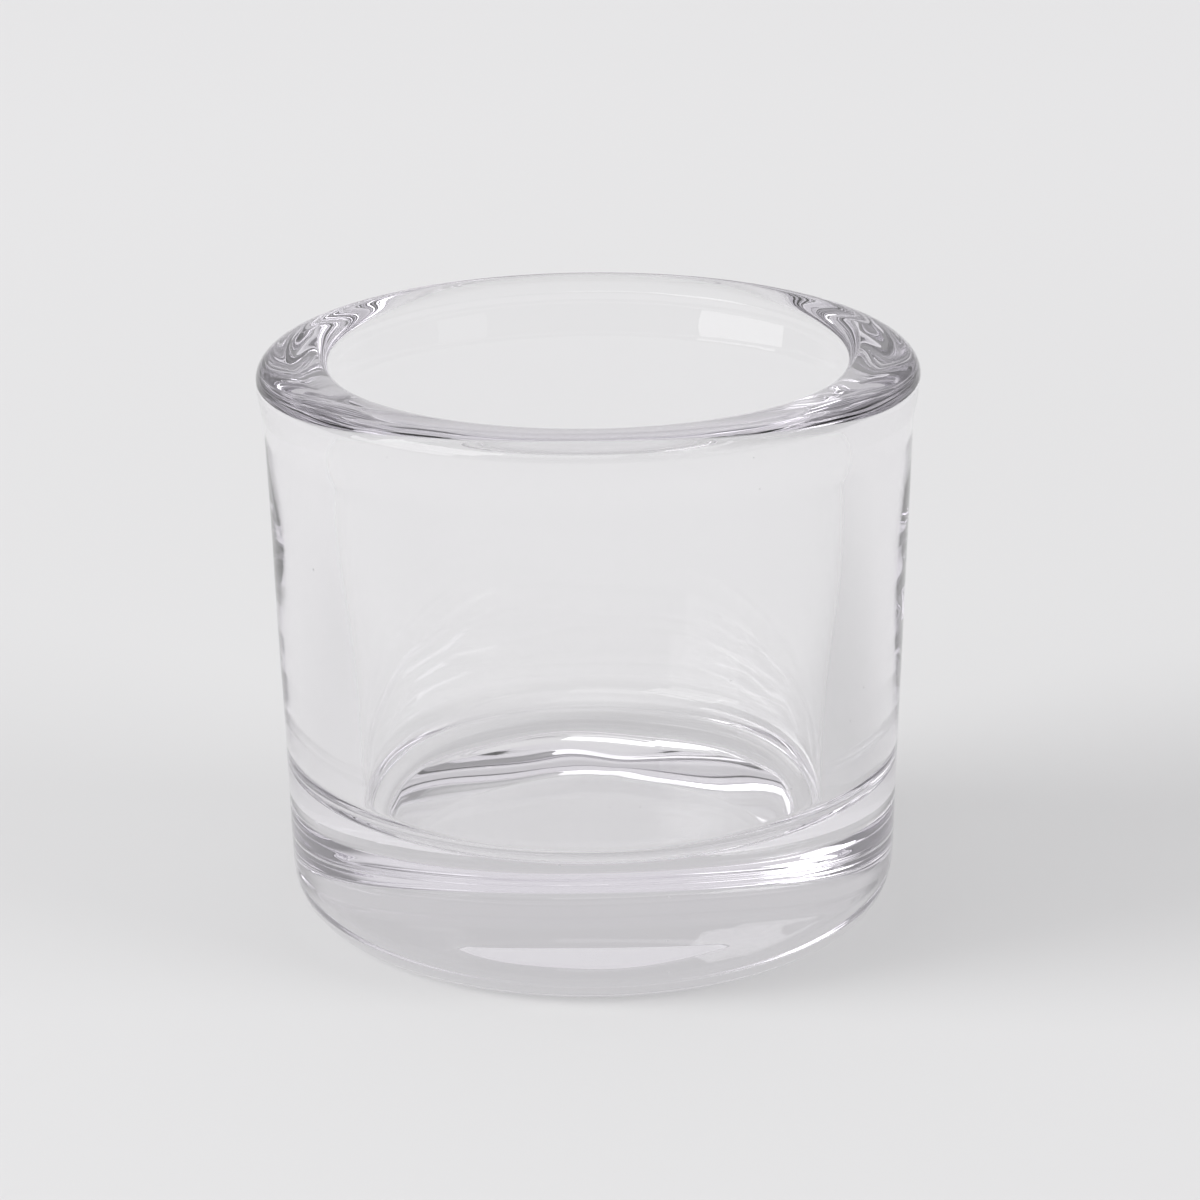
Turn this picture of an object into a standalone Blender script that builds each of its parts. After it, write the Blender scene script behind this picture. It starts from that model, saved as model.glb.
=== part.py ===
"""Tealight holder: a thick-walled cup of clear pressed glass, made in one piece.

The cup is a solid of revolution.  Its section is drawn in the XZ plane, one short function
per area of the glass, and a Screw modifier turns it about the Z axis.

Units are metres, Z is up, and the foot stands on Z = 0.
"""

import math

import bpy

# Overall size
RIM_RADIUS = 0.0300
HEIGHT = 0.0530

# Rounded bead around the mouth
BEAD_CROWN_RADIUS = 0.0270
BEAD_OUTER_DROP = 0.0020
BEAD_INNER_DROP = 0.0010
BEAD_UNDERSIDE_HEIGHT = 0.0457

# Outside of the wall, which widens a little from the heel up to the bead
WALL_TOP_RADIUS = 0.02936
WALL_BOTTOM_RADIUS = 0.0279

# Rounded heel, the narrow ring the cup stands on and the step inside the ring
HEEL_WIDTH = 0.0044
HEEL_HEIGHT = 0.0054
FOOT_RING_WIDTH = 0.0010
FOOT_STEP_WIDTH = 0.0012
FOOT_STEP_HEIGHT = 0.0006

# Top of the underside, which rises in a shallow dome from the step to the axis
UNDERSIDE_HEIGHT = 0.0019

# Cavity for the tealight
MOUTH_RADIUS = 0.0235
CAVITY_BOTTOM_RADIUS = 0.0217
FLOOR_HEIGHT = 0.0119
FLOOR_FILLET_WIDTH = 0.0038
FLOOR_FILLET_HEIGHT = 0.0030

# Fineness of the mesh
TURN_STEPS = 72
BEAD_OUTER_SEGMENTS = 6
BEAD_UNDERSIDE_SEGMENTS = 5
HEEL_SEGMENTS = 7
FOOT_STEP_SEGMENTS = 4
UNDERSIDE_SEGMENTS = 6
FLOOR_FILLET_SEGMENTS = 8
BEAD_INNER_SEGMENTS = 7
WELD_DISTANCE = 0.00001

COLLECTION_NAME = "tealight_holder"
CUP_NAME = "glass_cup"
GLASS_IOR = 1.52
GLASS_ROUGHNESS = 0.0
GLASS_COLOUR = (0.97, 0.97, 0.98, 1.0)


def remove_everything():
    """Empty the file of any object that is already in it."""
    for thing in list(bpy.data.objects):
        bpy.data.objects.remove(thing, do_unlink=True)


def shares(segments):
    """Evenly spaced numbers from 0 to 1."""
    return [index / segments for index in range(segments + 1)]


def between(start, end, share):
    """The value that lies the given share of the way from start to end."""
    return start + (end - start) * share


def eased(share):
    """The same share with a soft start and a soft finish."""
    return 0.5 - 0.5 * math.cos(math.pi * share)


def ellipse_arc(centre_radius, centre_height, width, height, start_degrees, end_degrees, segments):
    """Points along part of an upright ellipse, from one angle to the other, as (radius, height)."""
    points = []
    for share in shares(segments):
        angle = math.radians(between(start_degrees, end_degrees, share))
        radius = centre_radius + width * math.cos(angle)
        level = centre_height + height * math.sin(angle)
        points.append((radius, level))
    return points


def bead_outside():
    """Outer half of the rim bead, from its crown to its widest circle."""
    width = RIM_RADIUS - BEAD_CROWN_RADIUS
    centre_height = HEIGHT - BEAD_OUTER_DROP
    return ellipse_arc(
        BEAD_CROWN_RADIUS, centre_height, width, BEAD_OUTER_DROP, 90, 0, BEAD_OUTER_SEGMENTS)


def bead_underside():
    """Soft waist where the bead runs into the straight wall."""
    points = []
    for share in shares(BEAD_UNDERSIDE_SEGMENTS):
        radius = between(RIM_RADIUS, WALL_TOP_RADIUS, eased(share))
        level = between(HEIGHT - BEAD_OUTER_DROP, BEAD_UNDERSIDE_HEIGHT, share)
        points.append((radius, level))
    return points


def heel():
    """Rounded lower edge, from the bottom of the wall to the foot ring."""
    centre_radius = WALL_BOTTOM_RADIUS - HEEL_WIDTH
    return ellipse_arc(
        centre_radius, HEEL_HEIGHT, HEEL_WIDTH, HEEL_HEIGHT, 0, -90, HEEL_SEGMENTS)


def foot_step():
    """Inner edge of the foot ring and the soft step up inside it."""
    ring_inner_radius = WALL_BOTTOM_RADIUS - HEEL_WIDTH - FOOT_RING_WIDTH
    step_radius = ring_inner_radius - FOOT_STEP_WIDTH
    points = []
    for share in shares(FOOT_STEP_SEGMENTS):
        radius = between(ring_inner_radius, step_radius, share)
        level = between(0.0, FOOT_STEP_HEIGHT, eased(share))
        points.append((radius, level))
    return points


def underside(edge_radius):
    """Shallow dome of the underside, from its edge to the axis."""
    points = []
    for share in shares(UNDERSIDE_SEGMENTS):
        outward = 1.0 - share
        level = between(UNDERSIDE_HEIGHT, FOOT_STEP_HEIGHT, outward ** 2)
        points.append((edge_radius * outward, level))
    return points


def cavity_floor():
    """Flat floor from the axis, and the wide fillet up into the cavity wall."""
    centre_radius = CAVITY_BOTTOM_RADIUS - FLOOR_FILLET_WIDTH
    centre_height = FLOOR_HEIGHT + FLOOR_FILLET_HEIGHT
    fillet = ellipse_arc(
        centre_radius, centre_height, FLOOR_FILLET_WIDTH, FLOOR_FILLET_HEIGHT, -90, 0,
        FLOOR_FILLET_SEGMENTS)
    return [(0.0, FLOOR_HEIGHT)] + fillet


def bead_inside():
    """Inner half of the rim bead, from the cavity wall back to the crown."""
    width = BEAD_CROWN_RADIUS - MOUTH_RADIUS
    centre_height = HEIGHT - BEAD_INNER_DROP
    return ellipse_arc(
        BEAD_CROWN_RADIUS, centre_height, width, BEAD_INNER_DROP, 180, 90, BEAD_INNER_SEGMENTS)


def without_repeats(points):
    """Drop a point that falls on the one before it."""
    kept = []
    for point in points:
        if not kept or math.dist(point, kept[-1]) > WELD_DISTANCE:
            kept.append(point)
    return kept


def cup_section():
    """Outline of the glass: in along the cavity, over the crown, down the outside, to the axis."""
    cavity = cavity_floor() + bead_inside()
    outside = bead_outside() + bead_underside() + heel()
    step = foot_step()
    step_radius = step[-1][0]
    return without_repeats(cavity + outside + step + underside(step_radius))


def section_mesh(name, points):
    """Mesh of one open chain of edges in the XZ plane; both of its ends lie on the axis."""
    vertices = [(radius, 0.0, height) for radius, height in points]
    edges = [(index, index + 1) for index in range(len(points) - 1)]
    mesh = bpy.data.meshes.new(name)
    mesh.from_pydata(vertices, edges, [])
    mesh.update()
    return mesh


def turn_about_z(thing):
    """Add the Screw modifier that turns the section into a closed solid."""
    screw = thing.modifiers.new("turned section", "SCREW")
    screw.axis = "Z"
    screw.angle = math.tau
    screw.steps = TURN_STEPS
    screw.render_steps = TURN_STEPS
    screw.use_merge_vertices = True
    screw.merge_threshold = WELD_DISTANCE
    screw.use_smooth_shade = True


def clear_glass():
    """Colourless glass."""
    material = bpy.data.materials.new("clear_glass")
    material.use_nodes = True
    shader = material.node_tree.nodes["Principled BSDF"]
    shader.inputs["Base Color"].default_value = GLASS_COLOUR
    shader.inputs["Roughness"].default_value = GLASS_ROUGHNESS
    shader.inputs["IOR"].default_value = GLASS_IOR
    shader.inputs["Transmission Weight"].default_value = 1.0
    return material


def build_cup(collection):
    """The one piece of the holder."""
    cup = bpy.data.objects.new(CUP_NAME, section_mesh(CUP_NAME, cup_section()))
    cup.data.materials.append(clear_glass())
    turn_about_z(cup)
    collection.objects.link(cup)
    return cup


def main():
    """Build the holder in its own collection."""
    remove_everything()
    collection = bpy.data.collections.new(COLLECTION_NAME)
    bpy.context.scene.collection.children.link(collection)
    build_cup(collection)


main()
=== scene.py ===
"""Looks of the tealight holder: one cup of clear pressed glass on a pale, softly lit table."""

import math
import random

import bpy
import numpy as np
from mathutils import Matrix, Vector


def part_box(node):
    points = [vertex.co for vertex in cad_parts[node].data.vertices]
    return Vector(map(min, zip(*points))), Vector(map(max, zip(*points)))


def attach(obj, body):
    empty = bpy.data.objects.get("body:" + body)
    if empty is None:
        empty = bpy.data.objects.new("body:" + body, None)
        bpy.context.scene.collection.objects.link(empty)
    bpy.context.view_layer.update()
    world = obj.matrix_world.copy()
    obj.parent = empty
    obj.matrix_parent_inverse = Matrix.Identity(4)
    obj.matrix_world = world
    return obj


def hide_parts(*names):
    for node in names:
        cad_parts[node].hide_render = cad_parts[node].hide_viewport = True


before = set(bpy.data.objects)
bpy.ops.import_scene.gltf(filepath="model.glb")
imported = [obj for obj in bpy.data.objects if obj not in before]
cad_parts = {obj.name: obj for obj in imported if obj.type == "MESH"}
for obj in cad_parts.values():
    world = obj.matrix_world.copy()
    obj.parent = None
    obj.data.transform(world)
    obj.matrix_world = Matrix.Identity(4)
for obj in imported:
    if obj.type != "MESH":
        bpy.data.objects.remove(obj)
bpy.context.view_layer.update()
CUP_NODE = "glass_cup"
CUP_LOW, CUP_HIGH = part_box(CUP_NODE)

# Section of the cup, in metres, as the CAD model has it
RIM_RADIUS = CUP_HIGH[0]
HEIGHT = CUP_HIGH[2]
BEAD_CROWN_RADIUS = 0.0270
BEAD_OUTER_DROP = 0.0020
BEAD_INNER_DROP = 0.0010
BEAD_UNDERSIDE_HEIGHT = 0.0457
WALL_TOP_RADIUS = 0.02936
WALL_BOTTOM_RADIUS = 0.0279
HEEL_WIDTH = 0.0044
HEEL_HEIGHT = 0.0054
FOOT_RING_WIDTH = 0.0010
FOOT_STEP_WIDTH = 0.0012
FOOT_STEP_HEIGHT = 0.0006
UNDERSIDE_HEIGHT = 0.0019
MOUTH_RADIUS = 0.0235
CAVITY_BOTTOM_RADIUS = 0.0217
FLOOR_HEIGHT = 0.0119
FLOOR_FILLET_WIDTH = 0.0038
FLOOR_FILLET_HEIGHT = 0.0030

# Waviness of the pressed surfaces, as the largest usual departure in metres
CAVITY_RIPPLE = 0.00005
FLOOR_RIPPLE = 0.00001
OUTSIDE_RIPPLE = 0.00002
STEP_RIPPLE = 0.0003

# Each waviness is a sum of waves: how many run around the cup and how steeply they lean
RIPPLE_WAVES = 7
RIPPLE_TURNS = (2, 9)
RIPPLE_RISE = 350.0

# Random patterns, one for each uneven surface and one for the seeds
CAVITY_PATTERN = 3
FLOOR_PATTERN = 5
WALL_PATTERN = 7
STEP_PATTERN = 11
SEED_PATTERN = 21

# Where each waviness starts or stops, as two radii, two heights or two depths under the crown
CAVITY_WAVES_BEGIN = (0.010, 0.018)
CAVITY_TRUE_UNDER_CROWN = (0.010, 0.002)
FLOOR_WAVES_BEGIN = (0.0, 0.010)
FLOOR_WAVES_END = (0.013, 0.018)
WALL_WAVES_BEGIN = (0.004, 0.010)
WALL_WAVES_END = (0.038, 0.045)
STEP_WAVES_BEGIN = (0.012, 0.019)

# Fineness of the visible mesh
TURN_STEPS = 384
FLOOR_SEGMENTS = 24
FILLET_SEGMENTS = 30
CAVITY_WALL_SEGMENTS = 30
BEAD_INNER_SEGMENTS = 24
BEAD_OUTER_SEGMENTS = 20
WAIST_SEGMENTS = 16
OUTER_WALL_SEGMENTS = 30
HEEL_SEGMENTS = 24
FOOT_STEP_SEGMENTS = 10
UNDERSIDE_SEGMENTS = 30

# Glass
GLASS_IOR = 1.52
GLASS_TINT = (0.868, 0.832, 0.905)
GLASS_ABSORPTION = 8.0

# Seeds: the tiny bubbles in the glass, as their number, sizes, fineness and places
BASE_SEEDS = 6
WALL_SEEDS = 9
SEED_RADII = (0.00005, 0.00011)
SEED_MERIDIANS = 10
SEED_RINGS = 5
BASE_SEED_RADII = (0.0, 0.019)
BASE_SEED_HEIGHTS = (0.0040, 0.0100)
WALL_SEED_RADII = (0.0245, 0.0270)
WALL_SEED_HEIGHTS = (0.0170, 0.0430)

# Table: its paper, the strength of its glow and the radii between which the glow changes; the glow
# is brighter under the cup as painted light and a little dimmer around the cup as painted shade
FLOOR_HALF_SIZE = 3.0
FLOOR_COLOUR = (0.22, 0.22, 0.22, 1.0)
FLOOR_ROUGHNESS = 0.9
FLOOR_GLOW_COLOUR = (1.0, 0.99, 1.01, 1.0)
# Painted light: a brighter glow right under the cup, standing in for the light the glass base would
# focus onto the table
PAINTED_LIGHT_GLOW_UNDER_CUP = 0.60
# Painted shade: a slightly weaker glow in a ring around the cup than far away
PAINTED_SHADE_GLOW_NEAR_CUP = 0.38
GLOW_FAR = 0.41
PAINTED_LIGHT_TO_SHADE_RADII = (0.014, 0.030)
PAINTED_SHADE_TO_EVEN_RADII = (0.08, 0.35)

# Room: the strength of its light, and the directions (Y, then Z) between which it changes
ROOM_COLOUR = (1.0, 1.0, 1.0, 1.0)
ROOM_FRONT = 0.24
ROOM_BACK = 0.60
ROOM_TOP = 0.78
ROOM_SEEN = 0.81
BACK_WALL_EDGE = (0.25, 0.60)
CEILING_EDGE = (0.55, 0.75)

# Lamps
CUP_MIDDLE = Vector((0.0, 0.0, 0.5 * HEIGHT))
SOFTBOX_DISTANCE = 0.80
TABLE_LIGHT_WIDTH = 36.0

# How many times light is followed through the glass, and the limit on a single bright path
LIGHT_BOUNCES = 32
GLOSSY_BOUNCES = 16
BRIGHTEST_PATH = 6.0

# Camera
CAMERA_DISTANCE = 0.430
CAMERA_HEIGHT = 0.1715
CAMERA_SIDE = 0.00087
CAMERA_PITCH = 18.32
CAMERA_ROLL = -0.57
FOCAL_LENGTH_MM = 148.05
SENSOR_MM = 36.0
NEAREST_SEEN = 0.01


def shares(segments):
    """Evenly spaced numbers from 0 to 1."""
    return [index / segments for index in range(segments + 1)]


def between(start, end, share):
    """The value that lies the given share of the way from start to end."""
    return start + (end - start) * share


def eased(share):
    """The same share with a soft start and a soft finish."""
    return 0.5 - 0.5 * math.cos(math.pi * share)


def ellipse_arc(centre_radius, centre_height, width, height, start_degrees, end_degrees, segments):
    """Points along part of an upright ellipse, from one angle to the other, as (radius, height)."""
    points = []
    for share in shares(segments):
        angle = math.radians(between(start_degrees, end_degrees, share))
        radius = centre_radius + width * math.cos(angle)
        level = centre_height + height * math.sin(angle)
        points.append((radius, level))
    return points


def cavity_points():
    """Section of the cavity: flat floor from the axis, fillet, wall and inner half of the bead."""
    fillet_centre = CAVITY_BOTTOM_RADIUS - FLOOR_FILLET_WIDTH
    fillet_top = FLOOR_HEIGHT + FLOOR_FILLET_HEIGHT
    floor = [(fillet_centre * share, FLOOR_HEIGHT) for share in shares(FLOOR_SEGMENTS)[1:]]
    fillet = ellipse_arc(
        fillet_centre, fillet_top, FLOOR_FILLET_WIDTH, FLOOR_FILLET_HEIGHT, -90, 0,
        FILLET_SEGMENTS)[1:]
    bead_start = HEIGHT - BEAD_INNER_DROP
    wall = []
    for share in shares(CAVITY_WALL_SEGMENTS)[1:]:
        radius = between(CAVITY_BOTTOM_RADIUS, MOUTH_RADIUS, share)
        wall.append((radius, between(fillet_top, bead_start, share)))
    bead_width = BEAD_CROWN_RADIUS - MOUTH_RADIUS
    bead = ellipse_arc(
        BEAD_CROWN_RADIUS, bead_start, bead_width, BEAD_INNER_DROP, 180, 90,
        BEAD_INNER_SEGMENTS)[1:]
    return floor + fillet + wall + bead


def outside_points():
    """Section of the outside: outer half of the bead, its underside, the wall and the heel."""
    bead_width = RIM_RADIUS - BEAD_CROWN_RADIUS
    bead_end = HEIGHT - BEAD_OUTER_DROP
    bead = ellipse_arc(
        BEAD_CROWN_RADIUS, bead_end, bead_width, BEAD_OUTER_DROP, 90, 0,
        BEAD_OUTER_SEGMENTS)[1:]
    waist = []
    for share in shares(WAIST_SEGMENTS)[1:]:
        radius = between(RIM_RADIUS, WALL_TOP_RADIUS, eased(share))
        waist.append((radius, between(bead_end, BEAD_UNDERSIDE_HEIGHT, share)))
    wall = []
    for share in shares(OUTER_WALL_SEGMENTS)[1:]:
        radius = between(WALL_TOP_RADIUS, WALL_BOTTOM_RADIUS, share)
        wall.append((radius, between(BEAD_UNDERSIDE_HEIGHT, HEEL_HEIGHT, share)))
    heel_centre = WALL_BOTTOM_RADIUS - HEEL_WIDTH
    heel = ellipse_arc(
        heel_centre, HEEL_HEIGHT, HEEL_WIDTH, HEEL_HEIGHT, 0, -90, HEEL_SEGMENTS)[1:]
    return bead + waist + wall + heel


def underside_points():
    """Section of the foot ring, the soft step inside it and the shallow dome of the underside."""
    ring_inner = WALL_BOTTOM_RADIUS - HEEL_WIDTH - FOOT_RING_WIDTH
    step_radius = ring_inner - FOOT_STEP_WIDTH
    ring = [(ring_inner, 0.0)]
    step = []
    for share in shares(FOOT_STEP_SEGMENTS)[1:]:
        step.append((between(ring_inner, step_radius, share), FOOT_STEP_HEIGHT * eased(share)))
    dome = []
    for share in shares(UNDERSIDE_SEGMENTS)[1:-1]:
        level = between(UNDERSIDE_HEIGHT, FOOT_STEP_HEIGHT, (1.0 - share) ** 2)
        dome.append((step_radius * (1.0 - share), level))
    return ring + step + dome


def ripple(angles, levels, seed):
    """Smooth random waviness, mostly between -1 and 1, without a seam around the cup."""
    chance = random.Random(seed)
    total = np.zeros_like(levels)
    for wave in range(RIPPLE_WAVES):
        turns = chance.randint(*RIPPLE_TURNS)
        rise = chance.uniform(-RIPPLE_RISE, RIPPLE_RISE)
        total += np.sin(turns * angles + rise * levels + chance.uniform(0.0, math.tau))
    return total / math.sqrt(RIPPLE_WAVES)


def ramp(values, low, high):
    """0 where the value is under low, 1 where it is over high, and a soft rise between."""
    share = np.clip((values - low) / (high - low), 0.0, 1.0)
    return share * share * (3.0 - 2.0 * share)


def turned(points):
    """Radius and height of every point of a section, one row per point and one column per step."""
    section = np.array(points)
    radius = np.repeat(section[:, :1], TURN_STEPS, axis=1)
    level = np.repeat(section[:, 1:], TURN_STEPS, axis=1)
    return radius, level


def wavy_cavity(angles):
    """The cavity, a little uneven as the plunger left it, and true again at the rim."""
    radius, level = turned(cavity_points())
    deeper, shallower = CAVITY_TRUE_UNDER_CROWN
    under_rim = 1.0 - ramp(level, HEIGHT - deeper, HEIGHT - shallower)
    on_wall = ramp(radius, *CAVITY_WAVES_BEGIN)
    on_floor = ramp(radius, *FLOOR_WAVES_BEGIN) * (1.0 - ramp(level, *FLOOR_WAVES_END))
    wider = CAVITY_RIPPLE * under_rim * ripple(angles, level, CAVITY_PATTERN) * on_wall
    higher = FLOOR_RIPPLE * on_floor * ripple(angles, radius, FLOOR_PATTERN)
    return radius + wider, level + higher


def wavy_outside(angles):
    """The outside, almost true: the wall alone is faintly uneven."""
    radius, level = turned(outside_points())
    on_wall = ramp(level, *WALL_WAVES_BEGIN) * (1.0 - ramp(level, *WALL_WAVES_END))
    return radius + OUTSIDE_RIPPLE * on_wall * ripple(angles, level, WALL_PATTERN), level


def wavy_underside(angles):
    """The underside, with a foot step that wanders in and out."""
    radius, level = turned(underside_points())
    near_step = ramp(radius, *STEP_WAVES_BEGIN)
    same_all_the_way_in = np.zeros_like(level)
    wander = ripple(angles, same_all_the_way_in, STEP_PATTERN)
    return radius + STEP_RIPPLE * near_step * wander, level


def seed_places():
    """Centres of the tiny bubbles: some in the thick base and some in the wall."""
    chance = random.Random(SEED_PATTERN)
    in_base = [(BASE_SEED_RADII, BASE_SEED_HEIGHTS)] * BASE_SEEDS
    in_wall = [(WALL_SEED_RADII, WALL_SEED_HEIGHTS)] * WALL_SEEDS
    places = []
    for radii, heights in in_base + in_wall:
        radius = chance.uniform(*radii)
        height = chance.uniform(*heights)
        angle = chance.uniform(0.0, math.tau)
        centre = Vector((radius * math.cos(angle), radius * math.sin(angle), height))
        places.append((centre, chance.uniform(*SEED_RADII)))
    return places


def add_seed(vertices, faces, centre, size):
    """Small round bubble whose faces look inwards, since the glass lies outside it."""
    first = len(vertices)
    vertices.append(tuple(centre + Vector((0.0, 0.0, size))))
    for ring in range(1, SEED_RINGS):
        tilt = math.pi * ring / SEED_RINGS
        for meridian in range(SEED_MERIDIANS):
            turn = math.tau * meridian / SEED_MERIDIANS
            level = math.sin(tilt) * size
            offset = Vector((level * math.cos(turn), level * math.sin(turn), math.cos(tilt) * size))
            vertices.append(tuple(centre + offset))
    last = len(vertices)
    vertices.append(tuple(centre - Vector((0.0, 0.0, size))))
    for meridian in range(SEED_MERIDIANS):
        following = (meridian + 1) % SEED_MERIDIANS
        faces.append((first, first + 1 + following, first + 1 + meridian))
        for ring in range(SEED_RINGS - 2):
            upper = first + 1 + ring * SEED_MERIDIANS
            lower = upper + SEED_MERIDIANS
            faces.append((upper + meridian, upper + following, lower + following, lower + meridian))
        lowest = last - SEED_MERIDIANS
        faces.append((last, lowest + meridian, lowest + following))


def turned_faces(ring_count, floor_centre, underside_centre):
    """Faces between neighbouring rings of points, and the fans that close both ends."""
    faces = []
    last_ring = (ring_count - 1) * TURN_STEPS
    for step in range(TURN_STEPS):
        following = (step + 1) % TURN_STEPS
        faces.append((floor_centre, step, following))
        faces.append((underside_centre, last_ring + following, last_ring + step))
        for ring in range(ring_count - 1):
            lower = ring * TURN_STEPS
            upper = lower + TURN_STEPS
            faces.append((lower + step, upper + step, upper + following, lower + following))
    return faces


def cup_mesh():
    """The cup as one fine closed mesh, turned about the Z axis, with the seeds in its glass."""
    angles = np.arange(TURN_STEPS) * (math.tau / TURN_STEPS)
    surfaces = [wavy_cavity(angles), wavy_outside(angles), wavy_underside(angles)]
    radius = np.concatenate([surface[0] for surface in surfaces])
    level = np.concatenate([surface[1] for surface in surfaces])
    ring_points = np.stack([radius * np.cos(angles), radius * np.sin(angles), level], axis=2)
    vertices = ring_points.reshape(-1, 3).tolist()
    floor_centre = len(vertices)
    vertices.append((0.0, 0.0, FLOOR_HEIGHT))
    underside_centre = len(vertices)
    vertices.append((0.0, 0.0, UNDERSIDE_HEIGHT))
    faces = turned_faces(len(radius), floor_centre, underside_centre)
    for centre, size in seed_places():
        add_seed(vertices, faces, centre, size)
    mesh = bpy.data.meshes.new("clear_cup")
    mesh.from_pydata(vertices, [], faces)
    mesh.shade_smooth()
    mesh.update()
    return mesh


def glass_material():
    """Clear glass with a very faint violet-grey tint in its thickness."""
    material = bpy.data.materials.new("clear_glass")
    material.use_nodes = True
    nodes = material.node_tree.nodes
    links = material.node_tree.links
    shader = nodes["Principled BSDF"]
    shader.inputs["Base Color"].default_value = (1.0, 1.0, 1.0, 1.0)
    shader.inputs["Roughness"].default_value = 0.0
    shader.inputs["IOR"].default_value = GLASS_IOR
    shader.inputs["Transmission Weight"].default_value = 1.0
    absorption = nodes.new("ShaderNodeVolumeAbsorption")
    absorption.inputs["Color"].default_value = (*GLASS_TINT, 1.0)
    absorption.inputs["Density"].default_value = GLASS_ABSORPTION
    links.new(absorption.outputs["Volume"], nodes["Material Output"].inputs["Volume"])
    return material


def build_cup():
    """The visible cup, in place of the plain CAD solid."""
    cup = bpy.data.objects.new("clear_cup", cup_mesh())
    cup.data.materials.append(glass_material())
    bpy.context.scene.collection.objects.link(cup)
    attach(cup, "root")
    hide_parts(CUP_NODE)


def soft_range(nodes, links, value, low, high, at_low, at_high):
    """at_low where value is under low, at_high where it is over high, and a soft change between."""
    node = nodes.new("ShaderNodeMapRange")
    node.interpolation_type = "SMOOTHSTEP"
    links.new(value, node.inputs["Value"])
    node.inputs["From Min"].default_value = low
    node.inputs["From Max"].default_value = high
    for name, bound in (("To Min", at_low), ("To Max", at_high)):
        if isinstance(bound, (int, float)):
            node.inputs[name].default_value = bound
        else:
            links.new(bound, node.inputs[name])
    return node.outputs["Result"]


def build_floor():
    """Wide pale light table under the cup: white paper that also glows a little from below, with
    painted light right under the cup and painted shade in a ring around it.
    """
    mesh = bpy.data.meshes.new("pale_floor")
    half = FLOOR_HALF_SIZE
    corners = [(-half, -half, 0.0), (half, -half, 0.0), (half, half, 0.0), (-half, half, 0.0)]
    mesh.from_pydata(corners, [], [(0, 1, 2, 3)])
    floor = bpy.data.objects.new("pale_floor", mesh)
    material = bpy.data.materials.new("pale_paper")
    material.use_nodes = True
    nodes = material.node_tree.nodes
    links = material.node_tree.links
    shader = nodes["Principled BSDF"]
    shader.inputs["Base Color"].default_value = FLOOR_COLOUR
    shader.inputs["Roughness"].default_value = FLOOR_ROUGHNESS
    shader.inputs["Emission Color"].default_value = FLOOR_GLOW_COLOUR
    place = nodes.new("ShaderNodeTexCoord").outputs["Object"]
    from_cup = nodes.new("ShaderNodeVectorMath")
    from_cup.operation = "LENGTH"
    links.new(place, from_cup.inputs["Vector"])
    outward = from_cup.outputs["Value"]
    # Painted light under the cup, then painted shade in a ring around it, then the even glow
    # further off
    painted_light_and_shade_near_cup = soft_range(nodes, links, outward, *PAINTED_LIGHT_TO_SHADE_RADII, PAINTED_LIGHT_GLOW_UNDER_CUP, PAINTED_SHADE_GLOW_NEAR_CUP)
    glow = soft_range(nodes, links, outward, *PAINTED_SHADE_TO_EVEN_RADII, painted_light_and_shade_near_cup, GLOW_FAR)
    links.new(glow, shader.inputs["Emission Strength"])
    mesh.materials.append(material)
    bpy.context.scene.collection.objects.link(floor)


def build_world():
    """Room that lights the cup: dim in front, brighter behind and overhead.

    The camera itself sees one even, pale room.
    """
    world = bpy.data.worlds.new("studio")
    world.use_nodes = True
    nodes = world.node_tree.nodes
    links = world.node_tree.links
    direction = nodes.new("ShaderNodeTexCoord").outputs["Generated"]
    parts = nodes.new("ShaderNodeSeparateXYZ")
    links.new(direction, parts.inputs["Vector"])
    around = soft_range(nodes, links, parts.outputs["Y"], *BACK_WALL_EDGE, ROOM_FRONT, ROOM_BACK)
    whole = soft_range(nodes, links, parts.outputs["Z"], *CEILING_EDGE, around, ROOM_TOP)
    seen = nodes.new("ShaderNodeLightPath").outputs["Is Camera Ray"]
    shown = nodes.new("ShaderNodeMix")
    shown.data_type = "FLOAT"
    links.new(seen, shown.inputs["Factor"])
    links.new(whole, shown.inputs["A"])
    shown.inputs["B"].default_value = ROOM_SEEN
    links.new(shown.outputs["Result"], nodes["Background"].inputs["Strength"])
    nodes["Background"].inputs["Color"].default_value = ROOM_COLOUR
    bpy.context.scene.world = world


def sky_point(azimuth, elevation, distance):
    """Point seen from the cup in that direction; azimuth 0 is +X and 90 is +Y, in degrees."""
    level = math.cos(math.radians(elevation)) * distance
    return Vector((
        level * math.cos(math.radians(azimuth)),
        level * math.sin(math.radians(azimuth)),
        math.sin(math.radians(elevation)) * distance))


def softbox(name, azimuth, elevation, width, height, radiance):
    """Rectangular softbox that faces the cup and shines with that radiance."""
    light = bpy.data.lights.new(name, "AREA")
    light.shape = "RECTANGLE"
    light.size = width
    light.size_y = height
    light.energy = radiance * math.pi * width * height
    lamp = bpy.data.objects.new(name, light)
    lamp.location = sky_point(azimuth, elevation, SOFTBOX_DISTANCE) + CUP_MIDDLE
    lamp.rotation_euler = (CUP_MIDDLE - lamp.location).to_track_quat("-Z", "Y").to_euler()
    bpy.context.scene.collection.objects.link(lamp)


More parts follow.
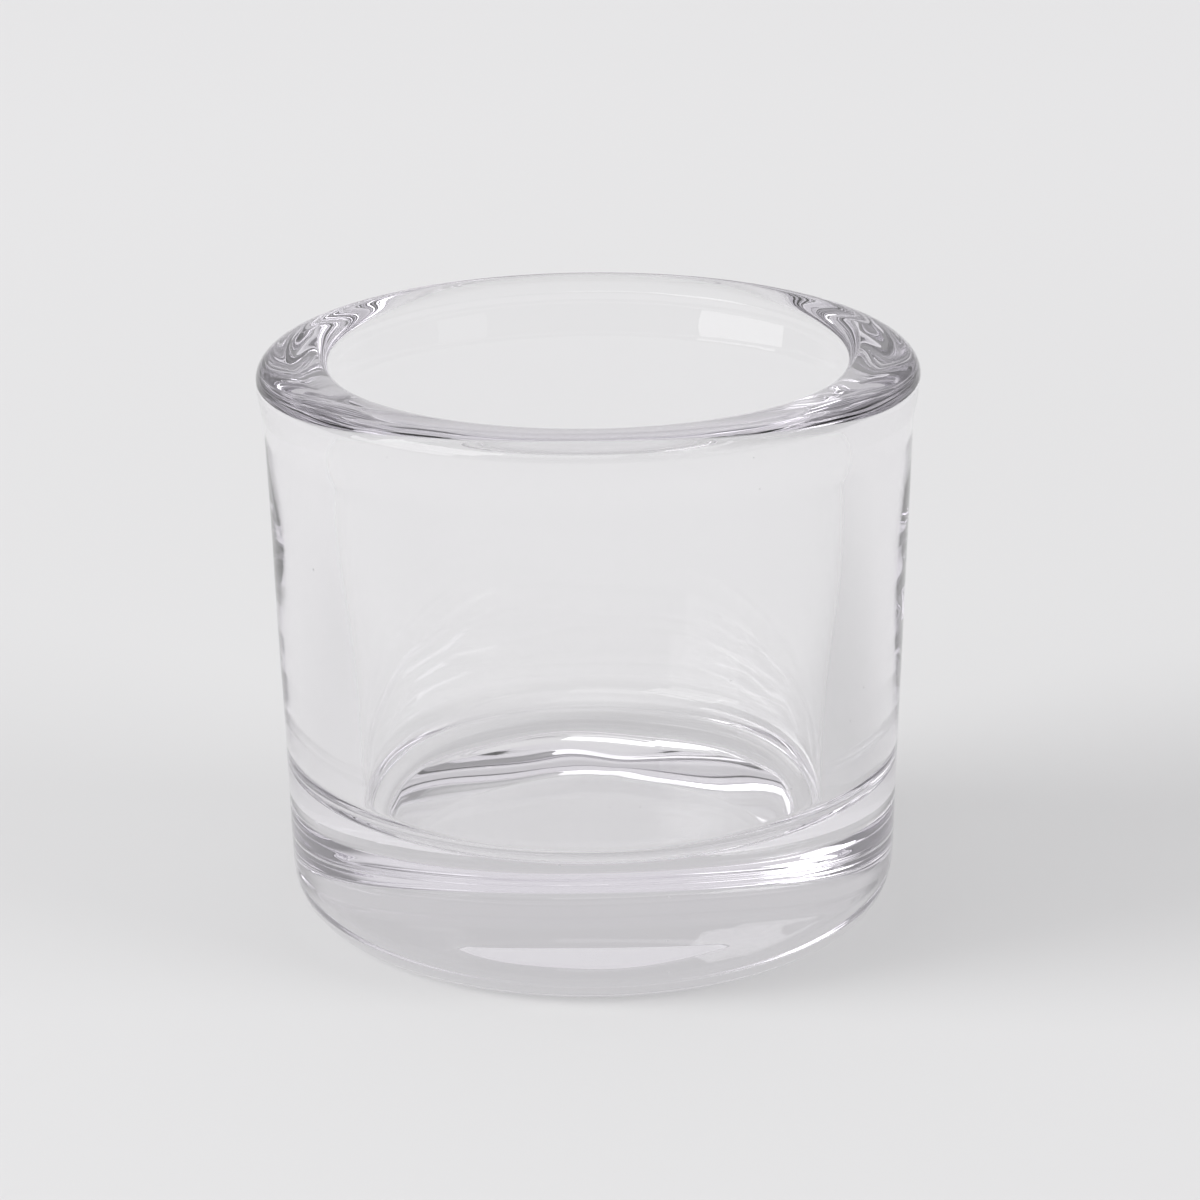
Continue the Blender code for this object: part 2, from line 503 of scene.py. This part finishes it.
def table_light(name, azimuth, elevation, strength):
    """Wide far light that the glass neither mirrors nor bends, for the cup's soft shadow."""
    light = bpy.data.lights.new(name, "SUN")
    light.angle = math.radians(TABLE_LIGHT_WIDTH)
    light.energy = strength
    lamp = bpy.data.objects.new(name, light)
    towards_table = -sky_point(azimuth, elevation, 1.0)
    lamp.rotation_euler = towards_table.to_track_quat("-Z", "Y").to_euler()
    lamp.visible_transmission = False
    lamp.visible_glossy = False
    bpy.context.scene.collection.objects.link(lamp)


def build_camera():
    """Camera a little above the rim, looking slightly down, with a small tilt to one side."""
    camera_data = bpy.data.cameras.new("camera")
    camera_data.sensor_width = SENSOR_MM
    camera_data.lens = FOCAL_LENGTH_MM
    camera_data.clip_start = NEAREST_SEEN
    camera = bpy.data.objects.new("camera", camera_data)
    upright = Matrix.Rotation(math.radians(90.0 - CAMERA_PITCH), 4, "X")
    roll = Matrix.Rotation(math.radians(CAMERA_ROLL), 4, "Z")
    place = Matrix.Translation((CAMERA_SIDE, -CAMERA_DISTANCE, CAMERA_HEIGHT))
    camera.matrix_world = place @ upright @ roll
    bpy.context.scene.collection.objects.link(camera)
    bpy.context.scene.camera = camera


def set_light_paths():
    """Enough bounces for light to cross the thick glass, and plain colour display."""
    scene = bpy.context.scene
    scene.view_settings.view_transform = "Standard"
    scene.cycles.max_bounces = LIGHT_BOUNCES
    scene.cycles.transmission_bounces = LIGHT_BOUNCES
    scene.cycles.glossy_bounces = GLOSSY_BOUNCES
    scene.cycles.sample_clamp_indirect = BRIGHTEST_PATH


build_cup()
build_floor()
build_world()
softbox("low_left_softbox", azimuth=204, elevation=14, width=0.58, height=0.21, radiance=2.0)
softbox("high_left_softbox", azimuth=211, elevation=36, width=0.52, height=0.40, radiance=2.8)
softbox("right_card", azimuth=322, elevation=18, width=0.30, height=0.26, radiance=0.5)
softbox("front_top_softbox", azimuth=258, elevation=49, width=0.52, height=0.32, radiance=1.0)
table_light("table_light_left", azimuth=192, elevation=24, strength=4.9)
table_light("table_light_right", azimuth=340, elevation=24, strength=2.5)
build_camera()
set_light_paths()
